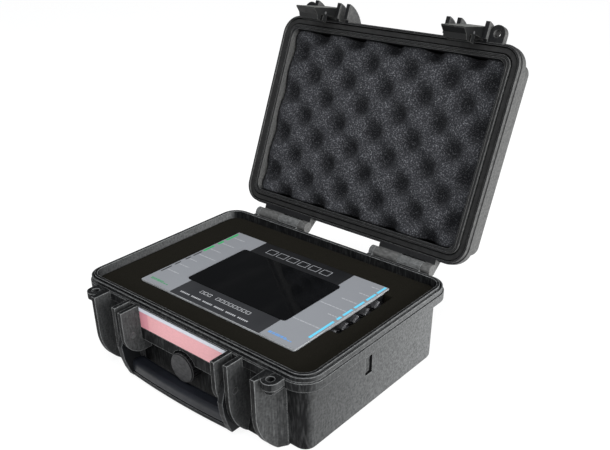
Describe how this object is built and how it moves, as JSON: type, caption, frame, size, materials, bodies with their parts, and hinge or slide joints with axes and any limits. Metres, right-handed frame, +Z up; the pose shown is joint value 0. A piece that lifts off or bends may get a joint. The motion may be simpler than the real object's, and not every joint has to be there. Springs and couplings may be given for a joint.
{
  "type": "portable test instrument in carrying case",
  "caption": "Electronic test instrument with a touch display, set in foam inside an open hard carrying case with hinged lid, latches, folding handle and pressure valve.",
  "frame": {"origin": "centre of the base's underside, midway between the rims' ends and midway between the front and rear rim faces", "axes": "+X to the right along the front, +Y to the hinges, +Z up; the lid is open in the rest pose"},
  "size_m": [0.2588, 0.3296, 0.2677],
  "materials": {
    "case_plastic": "matte",
    "lid_plastic": "satin",
    "latch_plastic": "satin",
    "grip_plastic": "satin",
    "knob_plastic": "matte",
    "black_plastic": "satin",
    "button_plastic": "satin",
    "cradle_foam": "matte",
    "convoluted_foam": "matte",
    "seal_rubber": "matte",
    "pin_steel": "satin",
    "card_pink": "matte",
    "card_white": "matte",
    "chassis_paint": "satin",
    "panel_paint": "satin",
    "film_grey": "satin",
    "film_dark": "satin",
    "screen_glass": "gloss",
    "module_metal": "satin",
    "board_green": "satin",
    "standoff_brass": "satin",
    "heat_aluminium": "satin",
    "battery_wrap": "satin",
    "socket_dark": "satin",
    "socket_metal": "gloss"
  },
  "bodies": {
    "base": {"base_shell": "case_plastic", "lower_foam_pad": "cradle_foam", "foam_cradle": "cradle_foam", "hinge_pins": "pin_steel", "handle_pins": "pin_steel", "valve_body": "black_plastic", "valve_seal": "seal_rubber", "name_card": "card_pink", "name_card_header": "card_white"},
    "lid": {"lid_shell": "lid_plastic", "lid_gasket": "seal_rubber", "lid_foam": "convoluted_foam", "latch_pins": "pin_steel"},
    "latch_left_lever": {"latch_left": "latch_plastic", "latch_left_cross_pin": "pin_steel"},
    "latch_right_lever": {"latch_right": "latch_plastic", "latch_right_cross_pin": "pin_steel"},
    "handle": {"handle_frame": "case_plastic", "handle_grip_cover": "grip_plastic"},
    "valve_cap": {"valve_knob": "knob_plastic"},
    "instrument": {"chassis_tub": "chassis_paint", "front_panel": "panel_paint", "left_film": "film_grey", "right_film": "film_grey", "centre_film": "film_dark", "touch_glass": "screen_glass", "display_module": "module_metal", "display_clamps": "module_metal", "main_board": "board_green", "board_standoffs": "standoff_brass", "board_screws": "pin_steel", "heat_spreader": "heat_aluminium", "processor_shield": "module_metal", "battery_pack": "battery_wrap", "output_sockets": "socket_dark", "output_socket_nuts": "socket_metal", "input_sockets": "socket_dark", "power_inlet": "black_plastic"},
    "power_switch": {"power_button": "button_plastic"}
  },
  "joints": [
    {"name": "lid_hinge", "type": "hinge", "parent": "base", "child": "lid", "pos_m": [0, 0.10345, 0.0706], "axis": [-1, 0, 0], "range_deg": [-113, 0]},
    {"name": "latch_left_pivot", "type": "hinge", "parent": "lid", "child": "latch_left_lever", "pos_m": [-0.0785, 0.19293, 0.25478], "axis": [-1, 0, 0], "range_deg": [0, 115]},
    {"name": "latch_right_pivot", "type": "hinge", "parent": "lid", "child": "latch_right_lever", "pos_m": [0.0785, 0.19293, 0.25478], "axis": [-1, 0, 0], "range_deg": [0, 115]},
    {"name": "handle_pivot", "type": "hinge", "parent": "base", "child": "handle", "pos_m": [0, -0.10365, 0.0437], "axis": [-1, 0, 0], "range_deg": [0, 100]},
    {"name": "valve_knob_turn", "type": "hinge", "parent": "base", "child": "valve_cap", "pos_m": [0, -0.095, 0.031], "axis": [0, -1, 0], "range_deg": [0, 180]},
    {"name": "instrument_lift", "type": "slide", "parent": "base", "child": "instrument", "axis": [0, 0, 1], "range_m": [0, 0.09]},
    {"name": "power_button_press", "type": "slide", "parent": "instrument", "child": "power_switch", "axis": [1, 0, 0], "range_m": [0, 0.0012], "stiffness_N_per_m": 300}
  ]
}
